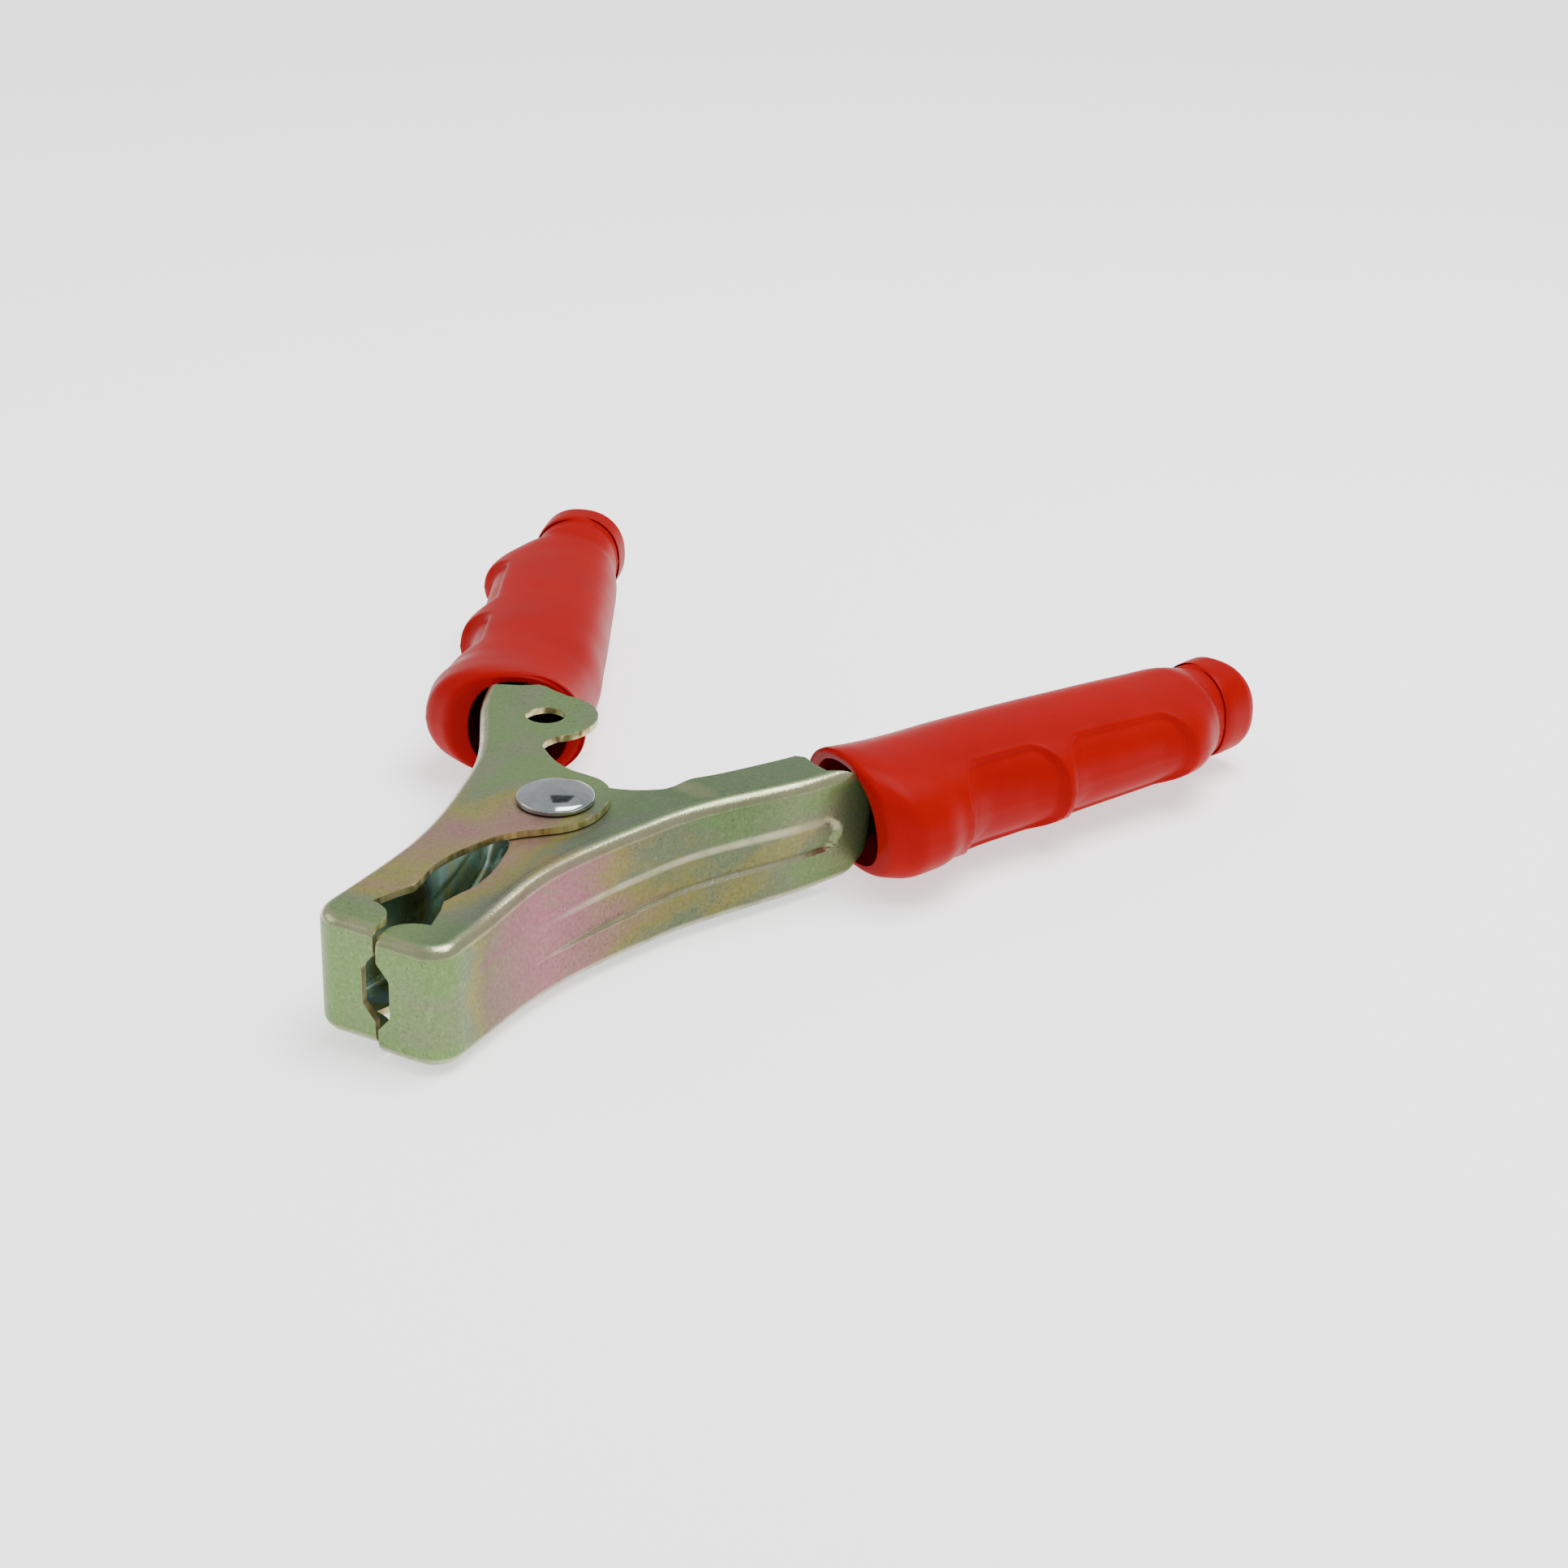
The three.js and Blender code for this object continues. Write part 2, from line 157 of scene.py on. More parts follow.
def clearance(points, loop):
    best = np.full(len(points), 1e9)
    for a, b in zip(loop, np.roll(loop, -1, axis=0)):
        d = b - a
        t = np.clip(((points - a) @ d) / max(d @ d, 1e-12), 0, 1)
        best = np.minimum(best, np.hypot(*(points - a - t[:, None] * d).T))
    return best


def fill(loop, holes, extra, margin):
    """Triangulates a loop with holes; extra inner points keep the margin from every edge."""
    keep = inside(extra, loop) & (clearance(extra, loop) > margin)
    for hole in holes:
        keep &= ~inside(extra, hole) & (clearance(extra, hole) > margin)
    points = []
    edges = []
    for ring in [loop, *holes]:
        first = len(points)
        points.extend(ring)
        edges.extend((first + i, first + (i + 1) % len(ring)) for i in range(len(ring)))
    points.extend(extra[keep])
    made = delaunay_2d_cdt([Vector(p) for p in points], edges, [], 0, 1e-6)
    found = np.array([tuple(v) for v in made[0]])
    faces = np.array([tuple(f) for f in made[2]])
    middle = found[faces].mean(axis=1)
    good = inside(middle, loop)
    for hole in holes:
        good &= ~inside(middle, hole)
    return found, [tuple(int(i) for i in f) for f in faces[good]]


# ---- the stamping's contour: front wall from the seam, corner, web, then the tongue's web ----
corner_x = JAW_X - CORNER
corner = arc((corner_x, FRONT_Y + CORNER), CORNER, -math.pi / 2, 0, 16)
tongue_line = [on_handle(t, 14.2 - (t - 66) * 0.066) for t in (76, 98, 120, TONGUE_END_T)]
outline = np.vstack([[(SEAM_X, FRONT_Y)], corner, spline(WEB_LINE + tongue_line)])
contour = resample(outline, 0.95)
run = np.r_[0, np.cumsum(np.hypot(*np.diff(contour, axis=0).T))]
tangent = np.gradient(contour, axis=0)
for _ in range(2):
    tangent[1:-1] = (tangent[:-2] + 2 * tangent[1:-1] + tangent[2:]) / 4
tangent /= np.hypot(*tangent.T)[:, None]
normal = np.c_[tangent[:, 1], -tangent[:, 0]]


def at_run(u, values):
    return np.interp(u, run, values)


def plan_at(u):
    return np.c_[at_run(u, contour[:, 0]), at_run(u, contour[:, 1])]


def normal_at(u):
    n = np.c_[at_run(u, normal[:, 0]), at_run(u, normal[:, 1])]
    return n / np.hypot(*n.T)[:, None]


def run_of(t_wanted):
    """Run along the contour at a distance along the handle line."""
    t = contour[:, 0] * math.sin(HANDLE) + contour[:, 1] * math.cos(HANDLE)
    web = contour[:, 1] > 0
    return float(np.interp(t_wanted, t[web], run[web]))


U_SHOULDER = run_of(SHOULDER_END_T)
U_END = float(run[-1])


def reach(u):
    """How far in from the web the bend, ridge and step go; less round the jaw's front."""
    y = plan_at(u)[:, 1]
    return FRONT_REACH + (BEND + FLAT + STEP - FRONT_REACH) * smooth((y + 52) / 40)


def ridge(u):
    return smooth((plan_at(u)[:, 1] + 52) / 26)


def lowered(points):
    """1 where the stepped cheek is down, 0 on the handle side of the ramp."""
    (x0, y0), (x1, y1) = RAMP
    length = math.hypot(x1 - x0, y1 - y0)
    beyond = ((points[:, 1] - y0) * (x1 - x0) - (points[:, 0] - x0) * (y1 - y0)) / length
    return 1 - smooth((beyond + 3.2) / 6.4)


def edge_plan(u):
    return plan_at(u) - normal_at(u) * reach(u)[:, None]


WEB_S = HALF - BEND
ARC_S = WEB_S + BEND * math.pi / 2
TONGUE_BEND = 2.0
TONGUE_S = 7.4 - TONGUE_BEND
TONGUE_EDGE_S = 7.0
RIB = dict(end=60.5, half=3.7, depth=0.85)
FLARE = 3.4                 # taken from the photo's outline; the CAD's web has none
ACROSS = np.array([math.cos(HANDLE), -math.sin(HANDLE)])


def rib_offset(u, s):
    """A shallow bead pressed into the web, crisp along its lower side."""
    p = plan_at(u)
    t = p[:, 0] * math.sin(HANDLE) + p[:, 1] * math.cos(HANDLE)
    fade = smooth((p[:, 1] + 44) / 40)
    middle = -0.6 - 0.7 * (1 - smooth((p[:, 1] + 30) / 40))
    h = s - middle
    beyond = np.clip(t - (RIB["end"] - RIB["half"]), 0, None)
    depth_in = RIB["half"] - np.hypot(beyond, h)
    wall = 0.9 + 2.2 * smooth(h / 2 + 0.3) * (1 - smooth(beyond / 2))
    bar = smooth(depth_in / wall + 0.5)
    return -RIB["depth"] * bar * fade


def flare(points, height, open_side):
    """The channel opens out towards the grip, most along the bend on the open_side of z."""
    t = points[:, 0] * math.sin(HANDLE) + points[:, 1] * math.cos(HANDLE)
    across = points[:, 0] * math.cos(HANDLE) - points[:, 1] * math.sin(HANDLE)
    out = FLARE * smooth((t - 22) / 44) * (1 - smooth((t - 68) / 12)) * smooth((across - 5.0) / 8.0)
    return out * (0.5 + 0.5 * np.clip(height * open_side / 11, -1, 1))


def sheet_point(u, s, open_side):
    """The stamping's outside face: u along the contour, s across it from lower to upper cheek."""
    a = np.abs(s)
    upper = s > 0
    level = np.where(upper, HALF - JOGGLE * lowered(edge_plan(u)), HALF)
    top = np.where(upper, level + (HALF - level) * ridge(u), HALF)
    drop = HALF - top
    width = reach(u)
    share = (width - BEND) / (FLAT + STEP)
    angle = np.clip((a - WEB_S) / BEND, 0, math.pi / 2)
    past = np.clip(a - ARC_S, 0, None)
    depth = BEND * (1 - np.cos(angle)) + past
    z = np.where(a <= WEB_S, a - drop * a / WEB_S, WEB_S - drop + BEND * np.sin(angle))
    z = z - (top - level) * smooth((past / np.maximum(share, 1e-3) - FLAT) / STEP)
    # inside the grip the same sheet goes on as a narrow channel
    turn = np.clip((a - TONGUE_S) / TONGUE_BEND, 0, math.pi / 2)
    more = np.clip(a - TONGUE_S - TONGUE_BEND * math.pi / 2, 0, None)
    tongue_z = np.where(a <= TONGUE_S, a, TONGUE_S + TONGUE_BEND * np.sin(turn))
    tongue_depth = TONGUE_BEND * (1 - np.cos(turn)) + more
    blend = smooth((u - U_SHOULDER - 1) / 10.0)
    z = z + (tongue_z - z) * blend
    depth = depth + (tongue_depth - depth) * blend
    joggle = TONGUE_JOGGLE * smooth((u - U_SHOULDER + 0.2) / 3.2)
    inward = depth - rib_offset(u, s) + joggle
    p = plan_at(u) - normal_at(u) * inward[:, None]
    height = z * np.sign(s)
    p = p + ACROSS * flare(p, height, open_side)[:, None] * (1 - blend)[:, None]
    return np.c_[p, height]


def front_s(z):
    """The s that gives height z on the front wall, whose upper half is a little shorter."""
    return z / (1 - JOGGLE / WEB_S) if z > 0 else z


def strip(u_cheek, bow_point, open_side):
    """Vertices and faces of the web with both bends, cut to the seam and the shoulders."""
    u_edge = np.r_[0, run[(run > 0.6) & (run < u_cheek - 0.6)], u_cheek]
    end_s = ARC_S + reach(u_edge) - BEND
    low = np.c_[u_edge, -end_s]
    shoulder = bow((u_cheek, -ARC_S), (u_cheek + bow_point[0], -bow_point[1]),
                   (U_SHOULDER, -TONGUE_EDGE_S), 16)
    tongue_run = np.r_[np.arange(U_SHOULDER + 1.5, U_END, 1.5), U_END]
    tongue_low = np.c_[tongue_run, np.full(len(tongue_run), -TONGUE_EDGE_S)]
    across_end = np.array([(U_END, s) for s in np.linspace(-TONGUE_EDGE_S, TONGUE_EDGE_S, 14)[1:-1]])
    lower_side = np.vstack([low, [(u_cheek, -s) for s in (end_s[-1] - 0.9, ARC_S + 0.4)], shoulder,
                            tongue_low])
    upper_side = (lower_side * (1, -1))[::-1]
    middle = -JOGGLE / 2
    half_window = [(SEAM_X, middle + 7.47), (3.2, middle + 4.1), (3.2, middle - 4.1),
                   (SEAM_X, middle - 7.47)]
    seam = [(0.0, front_s(z)) for z in np.arange(11.0, 7.5, -1.0)]
    seam += [(x - SEAM_X, front_s(z)) for x, z in drop_repeats(resample(half_window, 0.6))]
    seam += [(0.0, front_s(z)) for z in np.arange(-9.2, -13.0, -1.0)]
    top_end = [(0.0, s) for s in (ARC_S - 0.6, ARC_S - 1.8, ARC_S - 3.0)]
    loop = drop_repeats(np.vstack([lower_side, across_end, upper_side, top_end, seam,
                                   [(0.0, -s) for s in (ARC_S - 1.8, ARC_S - 0.6)]]))
    rows = np.r_[np.arange(0.25, 6.6, 0.45), np.arange(7.3, WEB_S - 0.3, 0.8),
                 np.arange(WEB_S, ARC_S + FLAT + STEP + 0.2, 0.42)]
    rows = np.unique(np.r_[rows, -rows].round(4))
    grid = np.array([(u, s) for u in run[1:-1] for s in rows])
    points, faces = fill(loop, [], grid, 0.2)
    return sheet_point(points[:, 0], points[:, 1], open_side), faces, u_edge


def cheek_loop(with_tab, u_edge):
    """Plan outline of a cheek inside the bend, in order from the seam round the free edge."""
    mouth = np.vstack([[MOUTH[0]], spline(MOUTH[1:] + EAR, 10)])
    free = [
        np.array([(SEAM_X, -62.2), (SEAM_X, -61.6)]),
        bow((SEAM_X, -61.6), (1.6, -57.2), (6.9, -56.4), 10),
        resample([(6.9, -56.4), (5.1, -50.4), (3.5, -47)], 0.8),
        mouth[1:],
        spline([EAR[-1]] + EAR_TO_HANDLE, 10),
    ]
    if with_tab:
        free += [bow(EAR_TO_HANDLE[-1], (18.4, 23), (16.8, 27.5), 8),
                 arc(TAB, TAB_RADIUS, math.pi * 1.25, math.pi * 0.46, 60), np.array(TAB_CORNER)]
    else:
        free += [spline([EAR_TO_HANDLE[-1]] + HANDLE_EDGE, 10), np.array(CHEEK_CORNER)]
    bent = edge_plan(u_edge)
    free_edge = drop_repeats(np.vstack(free))
    end = resample([free_edge[-1], bent[-1]], 1.0)[1:-1]
    return np.vstack([bent[::-1], free_edge, end])


def cheek(with_tab, upper, u_edge, open_side):
    """Vertices and faces of one cheek; the upper one steps in under the other half's."""
    loop = cheek_loop(with_tab, u_edge)
    holes = [arc((0, 0), PIVOT_HOLE, 0, 2 * math.pi, 37)[:-1]]
    if with_tab:
        holes.append(arc(TAB, TERMINAL_RADIUS, 0, 2 * math.pi, 41)[:-1])
    xs = np.arange(-16, 50, 1.1)
    ys = np.arange(-67, 52, 0.95)
    grid = np.array([(x + (0.55 if k % 2 else 0), y) for k, y in enumerate(ys) for x in xs])
    points, faces = fill(loop, holes, grid, 0.35)
    if upper:
        z = HALF - JOGGLE * lowered(points)
    else:
        z = np.full(len(points), -HALF)
    points = points + ACROSS * flare(points, z, open_side)[:, None]
    return np.c_[points, z], faces


def new_object(name, vertices, faces):
    mesh = bpy.data.meshes.new(name)
    mesh.from_pydata([tuple(v) for v in vertices], [], [tuple(f) for f in faces])
    mesh.validate()
    made = bpy.data.objects.new(name, mesh)
    bpy.context.scene.collection.objects.link(made)
    return made


def to_frame(vertices):
    return (np.asarray(vertices, float) + ORIGIN) * MM


def apply_modifiers(obj):
    graph = bpy.context.evaluated_depsgraph_get()
    graph.update()
    mesh = bpy.data.meshes.new_from_object(obj.evaluated_get(graph))
    obj.modifiers.clear()
    obj.data = mesh


def shade(obj, angle=40):
    for polygon in obj.data.polygons:
        polygon.use_smooth = True
    obj.data.set_sharp_from_angle(angle=math.radians(angle))


def stamping(name, with_tab, turned):
    """One pressed half as a closed shell; turned gives the copy that is flipped over."""
    open_side = -1 if turned else 1
    u_cheek = run_of(TURNED_CHEEK_END_T if turned else CHEEK_END_T)
    web, web_faces, u_edge = strip(u_cheek, TURNED_SHOULDER if turned else SHOULDER, open_side)
    parts = [(web, web_faces), cheek(False, True, u_edge, open_side),
             cheek(with_tab, False, u_edge, open_side)]
    vertices = np.vstack([p[0] for p in parts])
    faces = []
    base = 0
    for v, f in parts:
        faces += [tuple(i + base for i in face) for face in f]
        base += len(v)
    if turned:
        vertices = vertices * (-1, 1, -1)
    obj = new_object(name, to_frame(vertices), faces)
    mesh = bmesh.new()
    mesh.from_mesh(obj.data)
    bmesh.ops.remove_doubles(mesh, verts=mesh.verts, dist=0.02 * MM)
    bmesh.ops.recalc_face_normals(mesh, faces=mesh.faces)
    flat_up = [f for f in mesh.faces
               if abs(f.normal.z) > 0.99 and f.calc_center_median().z > ORIGIN[2] * MM]
    if sum(f.normal.z for f in flat_up) < 0:
        bmesh.ops.reverse_faces(mesh, faces=mesh.faces)
    mesh.to_mesh(obj.data)
    mesh.free()
    for material in (steel, inside_steel, cut_edge):
        obj.data.materials.append(material)
    solid = obj.modifiers.new("sheet", "SOLIDIFY")
    solid.material_offset = 1
    solid.material_offset_rim = 2
    solid.thickness = SHEET * MM
    solid.offset = -1
    solid.use_even_offset = True
    solid.use_quality_normals = True
    rim = obj.modifiers.new("rim", "BEVEL")
    rim.width = 0.24 * MM
    rim.segments = 2
    rim.limit_method = "ANGLE"
    rim.angle_limit = math.radians(58)
    apply_modifiers(obj)
    shade(obj)
    return obj


def lathe(name, profile, segments=72):
    """Turns a profile of (radius, height) points about the rivet's axis; both ends are on the axis."""
    profile = np.array(profile, float)
    rings = profile[1:-1]
    vertices = [(0, 0, profile[0][1])]
    for radius, z in rings:
        a = np.linspace(0, 2 * math.pi, segments, endpoint=False)
        vertices += [(radius * math.cos(t), radius * math.sin(t), z) for t in a]
    vertices.append((0, 0, profile[-1][1]))
    faces = []
    for i in range(segments):
        j = (i + 1) % segments
        faces.append((0, 1 + j, 1 + i))
        for r in range(len(rings) - 1):
            here, above = 1 + r * segments, 1 + (r + 1) * segments
            faces.append((here + i, here + j, above + j, above + i))
        last = 1 + (len(rings) - 1) * segments
        faces.append((len(vertices) - 1, last + i, last + j))
    return new_object(name, to_frame(vertices), faces)


def rivet():
    """Domed head above, straight shank, flat tail that the clamp lies on."""
    seat = HALF + 0.25
    head, shank, tail = 8.3, 3.95, 6.6
    bottom = -ORIGIN[2]
    dome = [(head * math.cos(a), seat + 0.85 + 1.75 * math.sin(a))
            for a in np.linspace(0.10, math.pi / 2, 22)]
    profile = [(0, bottom), (tail - 1.3, bottom), (tail - 0.4, bottom + 0.15), (tail, bottom + 0.6),
               (tail, -seat - 0.1), (tail - 0.1, -seat), (shank, -seat), (shank, seat), (head - 0.15, seat),
               (head, seat + 0.15), (head, seat + 0.75)] + dome[:-1] + [(0, dome[-1][1])]
    obj = lathe("rivet", profile)
    shade(obj, 35)
    return obj


def tube(name, path, radius, sides=14):
    """A round wire along the path, with closed flat ends."""
    path = np.array(path, float)
    tangents = np.gradient(path, axis=0)
    tangents /= np.linalg.norm(tangents, axis=1)[:, None]
    up = np.array([0, 0, 1.0])
    vertices, faces = [], []
    for p, d in zip(path, tangents):
        side = np.cross(d, up)
        side /= np.linalg.norm(side)
        lift = np.cross(side, d)
        for k in range(sides):
            a = 2 * math.pi * k / sides
            vertices.append(p + radius * (math.cos(a) * side + math.sin(a) * lift))
    for r in range(len(path) - 1):
        for k in range(sides):
            j = (k + 1) % sides
            a, b = r * sides, (r + 1) * sides
            faces.append((a + k, a + j, b + j, b + k))
    faces.append(tuple(range(sides))[::-1])
    faces.append(tuple((len(path) - 1) * sides + k for k in range(sides)))
    obj = new_object(name, to_frame(vertices), faces)
    mesh = bmesh.new()
    mesh.from_mesh(obj.data)
    bmesh.ops.recalc_face_normals(mesh, faces=mesh.faces)
    mesh.to_mesh(obj.data)
    mesh.free()
    return obj


def spring():
    """Torsion spring about the rivet, one straight leg running along each web."""
    radius, turns, leg_end = 7.3, 4, (27.6, 20.0)
    distance = math.hypot(*leg_end)
    start = math.atan2(leg_end[1], leg_end[0]) + math.acos(radius / distance)
    leg = math.sqrt(distance ** 2 - radius ** 2)
    sweep = 2 * math.pi * turns + math.pi - 2 * start
    path = []
    for along in np.r_[np.linspace(-leg, -0.4, 24), np.linspace(0, sweep * radius, 300),
                       np.linspace(sweep * radius + 0.4, sweep * radius + leg, 24)]:
        turned = min(max(along / (sweep * radius), 0), 1)
        beyond = along if along < 0 else max(0, along - sweep * radius)
        a = start + turned * sweep
        path.append((radius * math.cos(a) - math.sin(a) * beyond,
                     radius * math.sin(a) + math.cos(a) * beyond, (turned - 0.5) * COIL_RISE))
    return tube("spring", path, WIRE / 2)


# ---- grip: [along, centre, inward, outward, half height] across the handle line ----
GRIP = np.array([
    (66, 11.6, 14.6, 14.4, 14.4), (67, 11.8, 16.2, 17.6, 15.2), (69.5, 12, 17, 21.0, 15.1),
    (75, 11.8, 17.2, 21.0, 14.5), (83, 11, 17.4, 19.0, 13.8), (93, 9.4, 17.2, 19.0, 13.3),
    (104, 7.9, 16.2, 19.8, 13.1), (113, 6.7, 15.5, 20.6, 12.8), (124, 5.6, 14.9, 20.6, 12.4),
    (134, 4.7, 14.4, 20.8, 12), (145, 3.9, 14.1, 20.6, 11.6), (153, 3.2, 13.6, 20.0, 11.2),
    (160, 2.2, 12.6, 16.2, 11.0), (165, 0.9, 10.9, 11.4, 10.8), (170.2, 0.2, 10.5, 10.6, 10.5),
    (171, 0, 10.8, 10.8, 10.8), (171.6, 0, 11.15, 11.15, 11.15), (172.8, -0.3, 11.25, 11.25, 11.25),
    (177, -1.3, 11.25, 11.25, 11.25), (178.2, -1.6, 10.9, 10.9, 10.9), (178.8, -1.8, 10.2, 10.2, 10.2),
])
SCALLOPS = [(98.6, 14.2, 3.3), (133.0, 18.6, 3.4)]    # middle, half length, depth
DISH_CORNER = 6.5
MOUTH_SLANT, MOUTH_LEAN, MOUTH_BLEND = 0.24, 0.16, 18.0
SQUARE = 0.88                 # below 1 the section fills out towards a rounded rectangle
WALL, LIP = 2.6, 1.2
LIP_FACE = 2.3                # extra wall on the outward side of the mouth
MOULD_LINE = 0.14
CABLE_RADIUS = 7.0
RED_LIP_T = 67.6              # the inside surface takes the darkened copy of the red, painted shade, from here on


def grip_rows(values):
    """Smooth section values at each distance along the handle line."""
    t = GRIP[:, 0]
    out = np.empty((len(values), 4))
    for k in range(4):
        v = GRIP[:, k + 1]
        slope = np.diff(v) / np.diff(t)
        before, after = slope[:-1], slope[1:]
        harmonic = 2 * before * after / (before + after + 1e-12)
        m = np.r_[slope[0], np.where(before * after > 0, harmonic, 0), slope[-1]]
        i = np.clip(np.searchsorted(t, values, side="right") - 1, 0, len(t) - 2)
        h = t[i + 1] - t[i]
        x = (values - t[i]) / h
        out[:, k] = ((1 + 2 * x) * (1 - x) ** 2 * v[i] + x * (1 - x) ** 2 * h * m[i]
                     + x * x * (3 - 2 * x) * v[i + 1] + x * x * (x - 1) * h * m[i + 1])
    return out


def grip(name, side, end_lift):
    """One soft grip: rings along the handle for the outside, then back for the hollow."""
    around = 120
    t = np.unique(np.r_[66, 66.15, 66.4, 66.7, np.arange(67, 170, 0.8),
                        np.arange(169, 178.8, 0.3), 178.8].round(3))
    rows = grip_rows(t)
    centre_slope = np.arctan(np.gradient(rows[:, 0], t))
    share = np.clip(1 - (t - 66) / MOUTH_BLEND, 0, 1)
    turn = centre_slope - MOUTH_SLANT * share
    angle = np.linspace(0, 2 * math.pi, around, endpoint=False)
    cos, sin = np.cos(angle), np.sin(angle)
    cos_s = np.sign(cos) * np.abs(cos) ** SQUARE
    sin_s = np.sign(sin) * np.abs(sin) ** SQUARE

    def ring(k, inward, outward, height, dips):
        flat = np.where(cos > 0, outward, inward) * cos_s
        if dips:
            for middle, half_length, depth in SCALLOPS:
                # a dish outlined by a rounded rectangle, seen square on from the side
                corner_x = abs(t[k] - middle) - (half_length - DISH_CORNER)
                corner_z = np.abs(height * sin_s) - (height - 1.6 - DISH_CORNER)
                outside = np.hypot(np.maximum(corner_x, 0), np.maximum(corner_z, 0))
                depth_in = DISH_CORNER - outside - np.minimum(np.maximum(corner_x, corner_z), 0)
                bowl = 0.7 * smooth(depth_in / 2.0) + 0.3 * smooth(depth_in / 9)
                flat = flat - depth * bowl * (cos > 0) * np.minimum(1, np.maximum(cos, 0) * 2.5)
            flat = flat + MOULD_LINE * np.exp(-(sin / 0.035) ** 2) * np.sign(cos) * (t[k] < 171)
        low = 0.93 - 0.055 * (1 - smooth((t[k] - 76) / 14)) + 0.07 * smooth((t[k] - 156) / 12)
        z = height * sin_s * np.where(sin < 0, low, 1.0) + end_lift * smooth((t[k] - 161) / 9)
        lean = MOUTH_LEAN * z * share[k]
        s = rows[k, 0] + flat * math.cos(turn[k])
        along = t[k] - flat * math.sin(turn[k]) - lean
        x, y = on_handle(along, s)
        return np.c_[x, y, z]

    rings = []
    for k in range(len(t)):
        _, inward, outward, height = rows[k]
        rings.append(ring(k, inward, outward, height, True))
    for k in range(len(t) - 1, -1, -1):
        _, inward, outward, height = rows[k]
        wall = LIP + (WALL - LIP) * smooth((t[k] - 70) / 6)
        bore = smooth((t[k] - 154) / 7)
        straight = min(outward, 14.5 + 3.5 * (1 - smooth((t[k] - 70) / 10)))
        straight -= LIP_FACE * (1 - smooth((t[k] - 66) / 9))
        inner = min(inward, 13.4 + 2.0 * smooth((t[k] - 68) / 8))
        hollow = [max(v - wall, 1) * (1 - bore) + CABLE_RADIUS * bore for v in (inner, straight, height)]
        rings.append(ring(k, *hollow, False))
    vertices = np.vstack(rings) * (side, 1, 1)
    faces = []
    count = len(rings)
    for r in range(count):
        a, b = r * around, ((r + 1) % count) * around
        for i in range(around):
            j = (i + 1) % around
            faces.append((a + i, a + j, b + j, b + i))
    obj = new_object(name, to_frame(vertices), faces)
    obj.data.materials.append(red)
    obj.data.materials.append(red_painted_shade)
    # the hollow's faces past the lip get the darker red: painted shade inside the grip
    hollow_faces = range(len(t) * around, (count - np.searchsorted(t, RED_LIP_T)) * around)
    for polygon in obj.data.polygons:
        polygon.material_index = 1 if polygon.index in hollow_faces else 0
    mesh = bmesh.new()
    mesh.from_mesh(obj.data)
    bmesh.ops.recalc_face_normals(mesh, faces=mesh.faces)
    if mesh.calc_volume(signed=True) < 0:
        bmesh.ops.reverse_faces(mesh, faces=mesh.faces)
    mesh.to_mesh(obj.data)
    mesh.free()
    rim = obj.modifiers.new("rim", "BEVEL")
    rim.width = 0.3 * MM
    rim.segments = 2
    rim.limit_method = "ANGLE"
    rim.angle_limit = math.radians(45)
    apply_modifiers(obj)
    shade(obj, 60)
    return obj


# ---- materials ----
def linear(rgb):
    """Linear colour from 0-255 display values."""
    return tuple(c / 12.92 if c <= 0.04045 else ((c + 0.055) / 1.055) ** 2.4
                 for c in (v / 255 for v in rgb))


